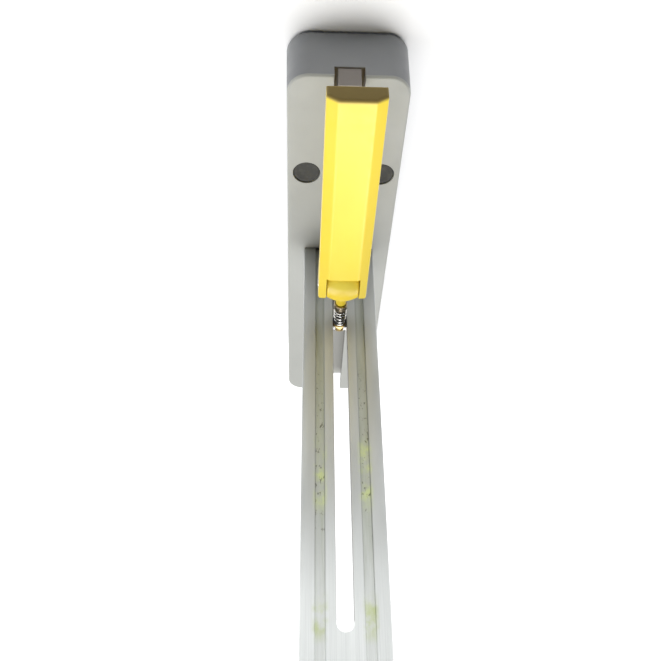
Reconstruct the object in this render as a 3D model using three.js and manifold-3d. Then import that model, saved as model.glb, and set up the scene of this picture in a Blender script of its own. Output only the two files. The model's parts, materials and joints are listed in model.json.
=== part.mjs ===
// Upright glass cutter: a slotted post on a channelled base carries a scoring head,
// and a quick-release lever clamps the head at any height along the post.
// Millimetres, +Z up. The base lies along Y, its lever end at -Y, and the origin is the
// centre of the base's underside.

import * as THREE from 'three';
import * as BufferGeometryUtils from 'three/addons/utils/BufferGeometryUtils.js';
import Module from 'manifold-3d';

const wasm = await Module();
wasm.setup();

// ---------------------------------------------------------------- driving dimensions

const BASE_LENGTH = 208;
const BASE_WIDTH = 45;
const BASE_TOP = 26.6;
const BASE_DRAFT = 0.6;
const BASE_CORNER = 8;
const BASE_EDGE = 0.9;
const BASE_WALL = 3;
const PAD_THICKNESS = 1.6;
const COVER_BOTTOM = 1.2;
const COVER_THICKNESS = 2.2;
const FIT_GAP = 0.3;

const CHANNEL_WIDTH = 12.4;
const CHANNEL_DEPTH = 10.6;
const CHANNEL_LIP = 4.6;
const CHANNEL_UNDERCUT = 18.6;
const SILL_LENGTH = 9;
const NOTCH_WIDTH = 11;
const NOTCH_DEPTH = 5.3;
const STOP_WIDTH = 8.2;
const STOP_HEIGHT = 4.5;
const STOP_THICKNESS = 3;

const PLUG_RADIUS = 5.25;
const PLUG_DEPTH = 3.5;
const PLUG_SPACING = 29.6;
const PLUG_FROM_NEAR_END = 46;

const BAR_WIDTH = 30.4;
const BAR_THICKNESS = 4;
const BAR_HEIGHT = 180;
const BAR_FROM_NEAR_END = 90.3;
const BAR_CLEARANCE = 0.2;
const SLOT_WIDTH = 5.8;
const SLOT_LOW = 18;
const SLOT_HIGH = 165.8;
const GROOVE_WIDTH = 3.5;
const GROOVE_DEPTH = 0.9;
const GROOVE_OFFSET = 8.3;

const ROD_HEIGHT = 38.3;
const ROD_RADIUS = 1.6;
const BUSH_RADIUS = 2.75;
const PIVOT_AHEAD_OF_BAR = 21.9;
const PIN_RADIUS = 1.5;
const PIN_LENGTH = 19.4;
const KNUCKLE_RADIUS = 7.1;
const KNUCKLE_END_RADIUS = 5.3;
const KNUCKLE_WIDTH = 12.5;
const NECK_RADIUS = 2.2;
const NECK_END = 12.5;
const COLLAR_LENGTH = 3.2;
const LEVER_WIDTH = 19;
const LEVER_REACH = 92.25;
const LEVER_TOP = 6;
const LEVER_SIDE_DROP = 2.6;
const LEVER_TIP_THICKNESS = 7.6;
const LEVER_BEVEL = 0.2;
const EAR_RADIUS = 5.85;
const EAR_CORNER = 2.5;
const TIP_CORNER = 1;
const FORK_SLOT = 13;
const FORK_DEPTH = 8.8;

const BARREL_TRAVEL = 3;
const SPRING_RADIUS = 2.25;
const SPRING_WIRE = 0.48;
const SPRING_TURNS = 4;

const WHEEL_RADIUS = 2.8;
const WHEEL_THICKNESS = 1.1;
const AXLE_RADIUS = 0.8;

// Places worked out from the driving dimensions.
const NEAR_END = -BASE_LENGTH / 2;
const FAR_END = BASE_LENGTH / 2;
const BAR_FRONT = NEAR_END + BAR_FROM_NEAR_END;
const BAR_BACK = BAR_FRONT + BAR_THICKNESS;
const BAR_BOTTOM = BASE_TOP + BAR_CLEARANCE;
const ROD_Z = BASE_TOP + ROD_HEIGHT;
const PIVOT_Y = BAR_FRONT - PIVOT_AHEAD_OF_BAR;

// ---------------------------------------------------------------- materials

const plastic = (color, roughness) =>
  new THREE.MeshStandardMaterial({ color, roughness, metalness: 0 });
const metal = (color, roughness) =>
  new THREE.MeshStandardMaterial({ color, roughness, metalness: 1 });

const greyPlastic = plastic(0xb0b0aa, 0.5);
const darkPlastic = plastic(0x4a4b4d, 0.55);
const yellowPlastic = plastic(0xf7e24a, 0.35);
const blackRubber = plastic(0x2c2c2b, 0.85);
const aluminium = metal(0xb9bab4, 0.42);
const steel = metal(0xa9abad, 0.3);
const springSteel = metal(0x8d8f92, 0.25);
const brass = metal(0xc79a3e, 0.35);
const carbide = metal(0x77797c, 0.3);

// ---------------------------------------------------------------- solids

const toManifold = (geometry) => {
  const bare = geometry.clone();
  bare.deleteAttribute('normal');
  bare.deleteAttribute('uv');
  const merged = BufferGeometryUtils.mergeVertices(bare, 1e-4);
  return new wasm.Manifold(new wasm.Mesh({
    numProp: 3,
    vertProperties: new Float32Array(merged.attributes.position.array),
    triVerts: new Uint32Array(merged.index.array),
  }));
};

const toGeometry = (solid) => {
  const mesh = solid.getMesh();
  const geometry = new THREE.BufferGeometry();
  geometry.setAttribute('position', new THREE.BufferAttribute(mesh.vertProperties, 3));
  geometry.setIndex(new THREE.BufferAttribute(mesh.triVerts, 1));
  geometry.computeVertexNormals();
  return geometry;
};

const joined = (...solids) => solids.reduce((whole, solid) => whole.add(solid));
const cut = (solid, ...tools) => tools.reduce((left, tool) => left.subtract(tool), solid);

// A box given by its low and high corners.
const box = (low, high) => {
  const geometry = new THREE.BoxGeometry(high[0] - low[0], high[1] - low[1], high[2] - low[2]);
  geometry.translate((low[0] + high[0]) / 2, (low[1] + high[1]) / 2, (low[2] + high[2]) / 2);
  return toManifold(geometry);
};

// A solid of revolution about Z from [radius, height] points that start and end on the axis.
const turned = (profile, segments = 32) => {
  const points = profile.map(([radius, height]) => new THREE.Vector2(radius, height));
  const geometry = new THREE.LatheGeometry(points, segments);
  geometry.rotateX(Math.PI / 2);
  return toManifold(geometry);
};

const rod = (radius, low, high, segments = 32) =>
  turned([[0, low], [radius, low], [radius, high], [0, high]], segments);

// The same solids laid along Y or along X, and moved to a point.
const alongY = (solid) => solid.rotate([-90, 0, 0]);
const alongX = (solid) => solid.rotate([0, 90, 0]);
const at = (solid, x, y, z) => solid.translate([x, y, z]);

// A rounded rectangle seen along Z, centred on the origin.
const roundedRectangle = (width, length, radius) => {
  const x = width / 2;
  const y = length / 2;
  const shape = new THREE.Shape();
  shape.moveTo(-x + radius, -y);
  shape.lineTo(x - radius, -y);
  shape.absarc(x - radius, -y + radius, radius, -Math.PI / 2, 0, false);
  shape.lineTo(x, y - radius);
  shape.absarc(x - radius, y - radius, radius, 0, Math.PI / 2, false);
  shape.lineTo(-x + radius, y);
  shape.absarc(-x + radius, y - radius, radius, Math.PI / 2, Math.PI, false);
  shape.lineTo(-x, -y + radius);
  shape.absarc(-x + radius, -y + radius, radius, Math.PI, Math.PI * 1.5, false);
  return shape;
};

const extruded = (shape, low, high, curveSegments = 8) => {
  const geometry = new THREE.ExtrudeGeometry(shape, {
    depth: high - low,
    bevelEnabled: false,
    curveSegments,
  });
  geometry.translate(0, 0, low);
  return toManifold(geometry);
};

// A solid of constant width across X from its [y, z] outline seen from the side.
const sideExtrusion = (outline, width) => {
  const shape = new THREE.Shape(outline.map(([y, z]) => new THREE.Vector2(y, z)));
  return extruded(shape, -width / 2, width / 2).rotate([90, 0, 90]);
};

const roundedBlock = (width, length, radius, low, high) =>
  extruded(roundedRectangle(width, length, radius), low, high);

// ---------------------------------------------------------------- base

// The moulded outside: a drafted block whose top edge is rounded in three steps.
const baseOutside = () => {
  const corner = BASE_CORNER;
  const layers = [
    [COVER_BOTTOM, BASE_DRAFT],
    [BASE_TOP - BASE_EDGE, 0],
    [BASE_TOP - BASE_EDGE * 0.3, -BASE_EDGE * 0.3],
    [BASE_TOP, -BASE_EDGE],
  ];
  const rings = layers.map(([z, grow]) => {
    const outline = roundedRectangle(BASE_WIDTH + 2 * grow, BASE_LENGTH + 2 * grow, corner + grow);
    return outline.getPoints(8).slice(0, -1).map((p) => new THREE.Vector3(p.x, p.y, z));
  });
  return lofted(rings);
};

// A closed solid through stacked rings of equal point count, capped flat at both ends.
const lofted = (rings) => {
  const count = rings[0].length;
  const positions = rings.flat().flatMap((p) => [p.x, p.y, p.z]);
  const index = [];
  for (let ring = 0; ring + 1 < rings.length; ring += 1) {
    for (let i = 0; i < count; i += 1) {
      const a = ring * count + i;
      const b = ring * count + ((i + 1) % count);
      index.push(a, b, b + count, a, b + count, a + count);
    }
  }
  const cap = THREE.ShapeUtils.triangulateShape(rings[0].map((p) => new THREE.Vector2(p.x, p.y)), []);
  const last = (rings.length - 1) * count;
  cap.forEach(([a, b, c]) => {
    index.push(a, c, b);
    index.push(last + a, last + b, last + c);
  });
  const geometry = new THREE.BufferGeometry();
  geometry.setAttribute('position', new THREE.Float32BufferAttribute(positions, 3));
  geometry.setIndex(index);
  return toManifold(geometry);
};

const COVER_SCREWS = [-1, 1].flatMap((side) => [-88, 88].map((y) => ({ x: side * 14.5, y })));
const CHANNEL_FLOOR = BASE_TOP - CHANNEL_DEPTH;
const CHANNEL_START = NEAR_END + SILL_LENGTH;
const BEYOND = 5;

const channelSpace = () => joined(
  box([-CHANNEL_WIDTH / 2, CHANNEL_START, CHANNEL_FLOOR],
    [CHANNEL_WIDTH / 2, FAR_END + BEYOND, BASE_TOP + BEYOND]),
  box([-CHANNEL_UNDERCUT / 2, CHANNEL_START, CHANNEL_FLOOR],
    [CHANNEL_UNDERCUT / 2, FAR_END + BEYOND, BASE_TOP - CHANNEL_LIP]),
  box([-NOTCH_WIDTH / 2, NEAR_END - BEYOND, BASE_TOP - NOTCH_DEPTH],
    [NOTCH_WIDTH / 2, CHANNEL_START + 1, BASE_TOP + BEYOND]),
);

const plugPlaces = [-1, 1].map((side) => ({
  side,
  x: (side * PLUG_SPACING) / 2,
  y: NEAR_END + PLUG_FROM_NEAR_END,
}));

const baseBody = () => {
  const ceiling = CHANNEL_FLOOR - BASE_WALL;
  const hollow = joined(
    roundedBlock(BASE_WIDTH - 2 * BASE_WALL, BASE_LENGTH - 2 * BASE_WALL,
      BASE_CORNER - BASE_WALL, 0, ceiling),
    roundedBlock(BASE_WIDTH - BASE_WALL, BASE_LENGTH - BASE_WALL,
      BASE_CORNER - BASE_WALL / 2, 0, COVER_BOTTOM + COVER_THICKNESS + FIT_GAP),
  );
  const posts = COVER_SCREWS.map(({ x, y }) =>
    at(rod(3.6, COVER_BOTTOM + COVER_THICKNESS + FIT_GAP, ceiling + 1, 20), x, y, 0));
  const pilots = COVER_SCREWS.map(({ x, y }) => at(rod(1.3, 0, ceiling - 1, 12), x, y, 0));
  const sockets = plugPlaces.map(({ x, y }) =>
    at(rod(PLUG_RADIUS + 0.15, BASE_TOP - PLUG_DEPTH - 0.3, BASE_TOP + 1, 40), x, y, 0));
  const shell = cut(baseOutside(), hollow, channelSpace(), ...sockets);
  return cut(joined(shell, ...posts), ...pilots);
};

const baseCover = () => {
  const holes = COVER_SCREWS.map(({ x, y }) => at(joined(
    rod(1.7, 0, 10, 16),
    rod(3.1, 0, COVER_BOTTOM + 1.3, 20),
  ), x, y, 0));
  const plate = roundedBlock(BASE_WIDTH - BASE_WALL - 2 * FIT_GAP, BASE_LENGTH - BASE_WALL - 2 * FIT_GAP,
    BASE_CORNER - BASE_WALL / 2 - FIT_GAP, COVER_BOTTOM, COVER_BOTTOM + COVER_THICKNESS);
  const padRecess = roundedBlock(BASE_WIDTH - 10, 150, 4, 0, PAD_THICKNESS);
  return cut(plate, padRecess, ...holes);
};

const basePad = () => roundedBlock(BASE_WIDTH - 10.6, 149.4, 3.7, 0, PAD_THICKNESS);

// A pan-head screw pointing up, its head's face at z = 0 and its tip at z = length.
const panScrew = (headRadius, headHeight, shankRadius, length) => {
  const body = joined(
    turned([[0, 0], [headRadius * 0.8, 0], [headRadius, headHeight * 0.4],
      [headRadius, headHeight], [0, headHeight]], 24),
    rod(shankRadius, headHeight * 0.5, length, 16),
  );
  const recess = box([-headRadius * 0.6, -0.3, -1], [headRadius * 0.6, 0.3, headHeight * 0.5]);
  return cut(body, recess, recess.rotate([0, 0, 90]));
};

const coverScrew = () => panScrew(2.7, 1.1, 1.2, 9);

// A rubber plug with a shallow dished face.
const plug = () => {
  const face = BASE_TOP - 0.5;
  return turned([
    [0, BASE_TOP - PLUG_DEPTH], [PLUG_RADIUS, BASE_TOP - PLUG_DEPTH],
    [PLUG_RADIUS, face - 0.3], [PLUG_RADIUS - 0.4, face], [PLUG_RADIUS * 0.7, face],
    [PLUG_RADIUS * 0.35, face - 0.3], [0, face - 0.4],
  ], 40);
};

// The stop fills the channel's near end, and its upright tab stands in the notch.
const channelStop = () => {
  const half = STOP_WIDTH / 2;
  const wide = CHANNEL_UNDERCUT / 2 - 0.4;
  const front = NEAR_END + 0.4;
  const back = CHANNEL_START + 10;
  const ledge = BASE_TOP - NOTCH_DEPTH + FIT_GAP;
  return joined(
    box([-half, front, ledge], [half, front + STOP_THICKNESS, BASE_TOP + STOP_HEIGHT]),
    box([-half, front + 1, ledge], [half, back, ledge + 2.6]),
    box([-wide, CHANNEL_START + FIT_GAP, CHANNEL_FLOOR + FIT_GAP],
      [wide, back, BASE_TOP - CHANNEL_LIP - FIT_GAP]),
  );
};

// ---------------------------------------------------------------- post

const BAR_SCREW_X = 7;
const BAR_SCREW_Z = BASE_TOP + 8.5;
const FOOT_WIDTH = 22;
const FOOT_HEIGHT = 12;
const FOOT_LEG = 5;
const FOOT_LENGTH = 22;
const FOOT_FRONT = BAR_BACK + FIT_GAP;
const FOOT_SCREW_Y = FOOT_FRONT + 14;

const slottedBar = () => {
  const low = BASE_TOP + SLOT_LOW;
  const high = BASE_TOP + SLOT_HIGH;
  const half = SLOT_WIDTH / 2;
  const slotEnds = [low + half, high - half].map((z) =>
    at(alongY(rod(half, -BEYOND, BAR_THICKNESS + BEYOND, 24)), 0, BAR_FRONT, z));
  const slot = joined(
    box([-half, BAR_FRONT - 1, low + half], [half, BAR_BACK + 1, high - half]),
    ...slotEnds,
  );
  const grooves = [-1, 1].map((side) => groove(side * GROOVE_OFFSET));
  const taps = [-1, 1].map((side) =>
    at(alongY(rod(1.35, -2.5, 1, 16)), side * BAR_SCREW_X, BAR_BACK, BAR_SCREW_Z));
  const blank = roundedBar();
  return cut(blank, slot, ...grooves, ...taps);
};

// The bar's section is chamfered a little along its four long edges.
const roundedBar = () => {
  const x = BAR_WIDTH / 2;
  const edge = 0.4;
  const shape = new THREE.Shape();
  shape.moveTo(-x + edge, BAR_FRONT);
  shape.lineTo(x - edge, BAR_FRONT);
  shape.lineTo(x, BAR_FRONT + edge);
  shape.lineTo(x, BAR_BACK - edge);
  shape.lineTo(x - edge, BAR_BACK);
  shape.lineTo(-x + edge, BAR_BACK);
  shape.lineTo(-x, BAR_BACK - edge);
  shape.lineTo(-x, BAR_FRONT + edge);
  shape.closePath();
  return extruded(shape, BAR_BOTTOM, BAR_BOTTOM + BAR_HEIGHT);
};

// A groove with sloping sides, cut along the whole front face.
const groove = (x) => {
  const half = GROOVE_WIDTH / 2;
  const shape = new THREE.Shape();
  shape.moveTo(x - half - 0.2, BAR_FRONT - 0.4);
  shape.lineTo(x + half + 0.2, BAR_FRONT - 0.4);
  shape.lineTo(x + half - 0.3, BAR_FRONT + GROOVE_DEPTH);
  shape.lineTo(x - half + 0.3, BAR_FRONT + GROOVE_DEPTH);
  shape.closePath();
  return extruded(shape, BAR_BOTTOM - BEYOND, BAR_BOTTOM + BAR_HEIGHT + BEYOND);
};

// An angle bracket behind the bar, with a tongue that runs between the channel's lips.
const postFoot = () => {
  const half = FOOT_WIDTH / 2;
  const tongue = (CHANNEL_WIDTH - 0.8) / 2;
  const floor = BAR_BOTTOM;
  const angle = joined(
    box([-half, FOOT_FRONT, floor], [half, FOOT_FRONT + FOOT_LEG, floor + FOOT_HEIGHT]),
    box([-half, FOOT_FRONT, floor], [half, FOOT_FRONT + FOOT_LENGTH, floor + FOOT_LEG]),
    box([-tongue, FOOT_FRONT, BASE_TOP - 3], [tongue, FOOT_FRONT + FOOT_LENGTH, floor + 1]),
  );
  const barHoles = [-1, 1].map((side) =>
    at(alongY(rod(1.9, -1, FOOT_LEG + 1, 16)), side * BAR_SCREW_X, FOOT_FRONT, BAR_SCREW_Z));
  const screwHole = at(rod(2.3, 0, BASE_TOP + FOOT_HEIGHT, 20), 0, FOOT_SCREW_Y, 0);
  return cut(angle, ...barHoles, screwHole);
};

// The screw's head stands behind the bracket's upright leg and its tip is in the bar.
const barScrew = () => alongY(panScrew(2.9, 2, 1.2, FOOT_LEG + 2 + 2).rotate([180, 0, 0]));

const channelNut = () => {
  const half = (CHANNEL_UNDERCUT - 1) / 2;
  const neck = (CHANNEL_WIDTH - 0.8) / 2;
  const low = CHANNEL_FLOOR + 0.4;
  const high = BASE_TOP - CHANNEL_LIP - 0.4;
  const block = joined(
    box([-half, FOOT_FRONT + 4, low], [half, FOOT_FRONT + FOOT_LENGTH - 1, high]),
    box([-neck, FOOT_FRONT + 6, high - 1], [neck, FOOT_FRONT + FOOT_LENGTH - 3, BASE_TOP - 3.4]),
  );
  return cut(block, at(rod(1.85, low - 1, BASE_TOP, 20), 0, FOOT_SCREW_Y, 0));
};

// A knurled knob and its screw, which pulls the nut up against the channel's lips.
const footScrew = () => {
  const seat = BAR_BOTTOM + FOOT_LEG + 0.2;
  const shank = rod(1.7, CHANNEL_FLOOR + 1, seat + 1, 20);
  const head = turned([
    [0, seat], [4.2, seat], [4.2, seat + 1.2], [5.6, seat + 1.6],
    [5.6, seat + 7.2], [5.1, seat + 7.8], [0, seat + 7.8],
  ], 32);
  const flutes = Array.from({ length: 12 }, (_, i) => {
    const angle = (i * Math.PI) / 6;
    return at(rod(0.6, seat + 1.4, seat + 9, 8), 5.9 * Math.cos(angle), 5.9 * Math.sin(angle), 0);
  });
  return at(joined(shank, cut(head, ...flutes)), 0, FOOT_SCREW_Y, 0);
};

// ---------------------------------------------------------------- scoring head

const KEEPER_BACK = BAR_BACK + FIT_GAP + 2;
const HEAD_FRONT = KEEPER_BACK + 0.2;
const HEAD_BACK = HEAD_FRONT + 12;
const HEAD_LOW = ROD_Z - 21.2;
const HEAD_HIGH = ROD_Z - 4.5;
const HEAD_WIDTH = 15;
const KEEPER_WIDTH = 16;
const KEY_LOW = ROD_Z - 12.5;
const HEAD_SCREW_X = 4.8;
const HEAD_SCREW_Z = HEAD_LOW + 4;
const WHEEL_Y = HEAD_BACK + 6.3;
const WHEEL_Z = HEAD_LOW + 4.2;
const BUSH_FRONT = BAR_BACK - 0.6;
const BUSH_LENGTH = 3.4;

// The bush stands in the slot at the bar's back and ends behind the keeper plate.
const slotBush = () => at(alongY(cut(
  rod(BUSH_RADIUS, 0, BUSH_LENGTH, 32),
  rod(ROD_RADIUS + 0.1, -1, BUSH_LENGTH + 1, 24),
)), 0, BUSH_FRONT, ROD_Z);

// The keeper plate behind the slot seats the bush, and its key stops it turning.
const slotKeeper = () => {
  const front = BAR_BACK + FIT_GAP;
  const key = SLOT_WIDTH / 2 - 0.2;
  const plate = box([-KEEPER_WIDTH / 2, front, HEAD_LOW], [KEEPER_WIDTH / 2, KEEPER_BACK, ROD_Z + 2.2]);
  const lowKey = box([-key, BAR_BACK - 2.5, KEY_LOW], [key, front + 0.5, ROD_Z - BUSH_RADIUS - 1.2]);
  const bushSeat = at(alongY(rod(BUSH_RADIUS + 0.03, -1, 4, 32)), 0, front, ROD_Z);
  const screwHoles = [-1, 1].map((side) =>
    at(alongY(rod(1.3, -1, 4, 16)), side * HEAD_SCREW_X, front, HEAD_SCREW_Z));
  return cut(joined(plate, lowKey), bushSeat, ...screwHoles);
};

// The head block slopes down towards the wheel and is bored for the wheel holder.
const headBlock = () => {
  const block = sideExtrusion([
    [HEAD_FRONT, HEAD_LOW], [HEAD_BACK, HEAD_LOW], [HEAD_BACK, HEAD_LOW + 7.2],
    [HEAD_FRONT + 3, HEAD_HIGH - 1], [HEAD_FRONT, HEAD_HIGH],
  ], HEAD_WIDTH);
  const holderBore = at(alongY(rod(2.2, 5, 13, 24)), 0, HEAD_FRONT, WHEEL_Z);
  const screwHoles = [-1, 1].map((s) =>
    at(alongY(rod(1.5, -1, 20, 16)), s * HEAD_SCREW_X, HEAD_FRONT, HEAD_SCREW_Z));
  return cut(block, holderBore, ...screwHoles);
};

const headScrew = () => alongY(panScrew(2, 1.6, 1.1, 15.2).rotate([180, 0, 0]));

// The holder is a round shank with a flattened nose slotted for the wheel.
const wheelHolder = () => {
  const shank = alongY(rod(2.1, 5.3, 13, 24));
  const nose = box([-2.4, 12.3, -3.2], [2.4, 19.5, 3.2]);
  const slot = box([-5, 14.2, -0.75], [5, 25, 0.75]);
  const bore = at(rod(AXLE_RADIUS + 0.03, -5, 5, 24), 0, WHEEL_Y - HEAD_FRONT, 0);
  return at(cut(joined(shank, nose), slot, bore), 0, HEAD_FRONT, WHEEL_Z);
};

const wheelAxle = () => at(rod(AXLE_RADIUS, -3.1, 3.1, 24), 0, WHEEL_Y, WHEEL_Z);

// A disc ground to a scoring edge, turning on the axle.
const cuttingWheel = () => {
  const half = WHEEL_THICKNESS / 2;
  const disc = turned([[0, -half], [WHEEL_RADIUS - 0.8, -half], [WHEEL_RADIUS, 0],
    [WHEEL_RADIUS - 0.8, half], [0, half]], 48);
  return at(cut(disc, rod(AXLE_RADIUS + 0.05, -1, 1, 24)), 0, WHEEL_Y, WHEEL_Z);
};

// ---------------------------------------------------------------- quick-release clamp

// The rod ends short of the pin by the barrel's travel.
const clampRod = () => {
  const start = PIVOT_Y + PIN_RADIUS + BARREL_TRAVEL + 0.5;
  return at(alongY(rod(ROD_RADIUS, 0, KEEPER_BACK - 0.6 - start, 24)), 0, start, ROD_Z);
};

// The barrel is a crowned knuckle across the fork with a round neck towards the bar.
const leverBarrel = () => {
  const half = KNUCKLE_WIDTH / 2;
  const drop = KNUCKLE_RADIUS - KNUCKLE_END_RADIUS;
  const steps = 8;
  const crown = Array.from({ length: steps + 1 }, (_, i) => {
    const x = half * ((2 * i) / steps - 1);
    return [KNUCKLE_RADIUS - drop * (x / half) ** 2, x];
  });
  const knuckle = alongX(turned([[0, -half], ...crown, [0, half]], 48));
  const neck = alongY(turned([
    [0, 0], [NECK_RADIUS, 0], [NECK_RADIUS, NECK_END - 0.4], [NECK_RADIUS - 0.3, NECK_END], [0, NECK_END],
  ], 32));
  const bore = alongY(rod(ROD_RADIUS + 0.1, 1, NECK_END + 1, 24));
  const pinBore = alongX(rod(PIN_RADIUS + 0.05, -half - 1, half + 1, 24));
  return at(cut(joined(knuckle, neck), bore, pinBore), 0, PIVOT_Y, ROD_Z);
};

// A collar between the neck and the spring.
const COLLAR_START = PIVOT_Y + NECK_END + 0.1;

const springCollar = () => at(alongY(cut(
  rod(BUSH_RADIUS, 0, COLLAR_LENGTH, 32),
  rod(ROD_RADIUS + 0.1, -1, COLLAR_LENGTH + 1, 24),
)), 0, COLLAR_START, ROD_Z);

const pivotPin = () => at(alongX(turned([
  [0, -PIN_LENGTH / 2], [PIN_RADIUS - 0.3, -PIN_LENGTH / 2], [PIN_RADIUS, -PIN_LENGTH / 2 + 0.3],
  [PIN_RADIUS, PIN_LENGTH / 2 - 0.3], [PIN_RADIUS - 0.3, PIN_LENGTH / 2], [0, PIN_LENGTH / 2],
], 24)), 0, PIVOT_Y, ROD_Z);

// The lever seen from the end: flat crown, bevelled shoulders, straight sides.
const leverSection = (top, bottom) => {
  const half = LEVER_WIDTH / 2;
  const crown = half - LEVER_WIDTH * LEVER_BEVEL;
  const shape = new THREE.Shape();
  shape.moveTo(-half + 0.6, bottom);
  shape.lineTo(half - 0.6, bottom);
  shape.lineTo(half, bottom + 0.6);
  shape.lineTo(half, top - LEVER_SIDE_DROP);
  shape.lineTo(crown, top);
  shape.lineTo(-crown, top);
  shape.lineTo(-half, top - LEVER_SIDE_DROP);
  shape.lineTo(-half, bottom + 0.6);
  shape.closePath();
  return shape;
};

// The lever's outline from the side, which trims its section to an arm and a round-ended fork.
const leverProfile = () => {
  const bottom = LEVER_TOP - LEVER_TIP_THICKNESS;
  const shape = new THREE.Shape();
  shape.moveTo(-LEVER_REACH + 0.8, LEVER_TOP);
  shape.lineTo(-LEVER_REACH, LEVER_TOP - 0.8);
  shape.lineTo(-LEVER_REACH, bottom + 0.8);
  shape.lineTo(-LEVER_REACH + 0.8, bottom);
  shape.lineTo(-18, bottom);
  shape.quadraticCurveTo(-9, bottom, -5, -EAR_RADIUS + 0.6);
  shape.lineTo(-1.5, -EAR_RADIUS + 0.1);
  shape.absarc(0, 0, EAR_RADIUS, -Math.PI / 2, Math.PI / 2, false);
  shape.lineTo(-4, LEVER_TOP - 0.2);
  shape.lineTo(-6, LEVER_TOP);
  shape.closePath();
  return shape;
};

// The lever's outline from above, its corners rounded a little at the tip and more at the fork.
const leverPlan = () => {
  const half = LEVER_WIDTH / 2;
  const tip = TIP_CORNER - LEVER_REACH;
  const ear = EAR_RADIUS - EAR_CORNER;
  const shape = new THREE.Shape();
  shape.moveTo(TIP_CORNER - half, -LEVER_REACH);
  shape.absarc(half - TIP_CORNER, tip, TIP_CORNER, -Math.PI / 2, 0, false);
  shape.absarc(half - EAR_CORNER, ear, EAR_CORNER, 0, Math.PI / 2, false);
  shape.absarc(EAR_CORNER - half, ear, EAR_CORNER, Math.PI / 2, Math.PI, false);
  shape.absarc(TIP_CORNER - half, tip, TIP_CORNER, Math.PI, Math.PI * 1.5, false);
  return shape;
};

const clampLever = () => {
  const section = leverSection(LEVER_TOP, -EAR_RADIUS - 1);
  const arm = extruded(section, -EAR_RADIUS - 1, LEVER_REACH + 1).rotate([90, 0, 0]);
  const outline = extruded(leverProfile(), -LEVER_WIDTH, LEVER_WIDTH, 12).rotate([90, 0, 90]);
  const plan = extruded(leverPlan(), -20, 20, 6);
  const half = FORK_SLOT / 2;
  const forkSlot = box([-half, -FORK_DEPTH, -20], [half, 20, 20]);
  const pinBore = alongX(rod(PIN_RADIUS + 0.05, -20, 20, 24));
  const undercut = box([-half + 1.4, -LEVER_REACH + 4, -10], [half - 1.4, -11, LEVER_TOP - 5.2]);
  return at(cut(arm.intersect(outline).intersect(plan), forkSlot, pinBore, undercut), 0, PIVOT_Y, ROD_Z);
};

// A compression spring with closed ends, drawn as one sweep along a helix of varying pitch.
class SpringCurve extends THREE.Curve {
  constructor(length) {
    super();
    this.length = length;
  }

  getPoint(t, target = new THREE.Vector3()) {
    const angle = 2 * Math.PI * (SPRING_TURNS + 1) * t;
    const eased = THREE.MathUtils.smoothstep(t, 0.03, 0.97) * 0.35 + t * 0.65;
    return target.set(SPRING_RADIUS * Math.cos(angle), eased * this.length,
      SPRING_RADIUS * Math.sin(angle));
  }
}

const clampSpring = () => {
  const start = COLLAR_START + COLLAR_LENGTH + 0.1 + SPRING_WIRE;
  const end = BUSH_FRONT - 0.1 - SPRING_WIRE;
  const section = new THREE.Shape();
  section.absarc(0, 0, SPRING_WIRE, 0, 2 * Math.PI, false);
  const geometry = new THREE.ExtrudeGeometry(section, {
    steps: (SPRING_TURNS + 1) * 16,
    curveSegments: 3,
    extrudePath: new SpringCurve(end - start),
  });
  return at(toManifold(geometry), 0, start, ROD_Z);
};

// ---------------------------------------------------------------- assembly

const part = (name, solid, material, place = [0, 0, 0]) => {
  const mesh = new THREE.Mesh(toGeometry(solid), material);
  mesh.name = name;
  mesh.position.set(...place);
  return mesh;
};

const sideName = (side) => (side < 0 ? 'left' : 'right');

const base = new THREE.Group();
base.add(
  part('base_body', baseBody(), greyPlastic),
  part('base_cover', baseCover(), darkPlastic),
  part('base_pad', basePad(), blackRubber),
  part('channel_stop', channelStop(), greyPlastic),
);
plugPlaces.forEach(({ side, x, y }) => base.add(part(`plug_${sideName(side)}`, plug(), blackRubber, [x, y, 0])));
COVER_SCREWS.forEach(({ x, y }, i) =>
  base.add(part(`cover_screw_${i + 1}`, coverScrew(), steel, [x, y, COVER_BOTTOM + 0.15])));

const post = new THREE.Group();
post.add(
  part('slotted_bar', slottedBar(), aluminium),
  part('post_foot', postFoot(), aluminium),
  part('channel_nut', channelNut(), steel),
  part('foot_screw', footScrew(), brass),
);
[-1, 1].forEach((side) => post.add(part(`bar_screw_${sideName(side)}`, barScrew(), steel,
  [side * BAR_SCREW_X, FOOT_FRONT + FOOT_LEG + 2.2, BAR_SCREW_Z])));

const head = new THREE.Group();
head.add(
  part('slot_bush', slotBush(), brass),
  part('slot_keeper', slotKeeper(), steel),
  part('head_block', headBlock(), aluminium),
  part('wheel_holder', wheelHolder(), brass),
  part('wheel_axle', wheelAxle(), steel),
  part('cutting_wheel', cuttingWheel(), carbide),
  part('clamp_rod', clampRod(), steel),
  part('clamp_spring', clampSpring(), springSteel),
  part('lever_barrel', leverBarrel(), yellowPlastic),
  part('spring_collar', springCollar(), brass),
  part('pivot_pin', pivotPin(), steel),
  part('clamp_lever', clampLever(), yellowPlastic),
);
[-1, 1].forEach((side) => head.add(part(`head_screw_${sideName(side)}`, headScrew(), steel,
  [side * HEAD_SCREW_X, HEAD_BACK + 1.8, HEAD_SCREW_Z])));

const group = new THREE.Group();
group.add(base, post, head);

export default group;
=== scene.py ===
"""Upright glass cutter: the fine surfaces, materials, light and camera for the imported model.

Shapes are made in millimetres in the part's own frame, +Z up with the base along Y, and are
scaled to metres when their mesh is finished.
"""

import json
import math

import bmesh
import bpy
from mathutils import Matrix, Vector


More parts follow.
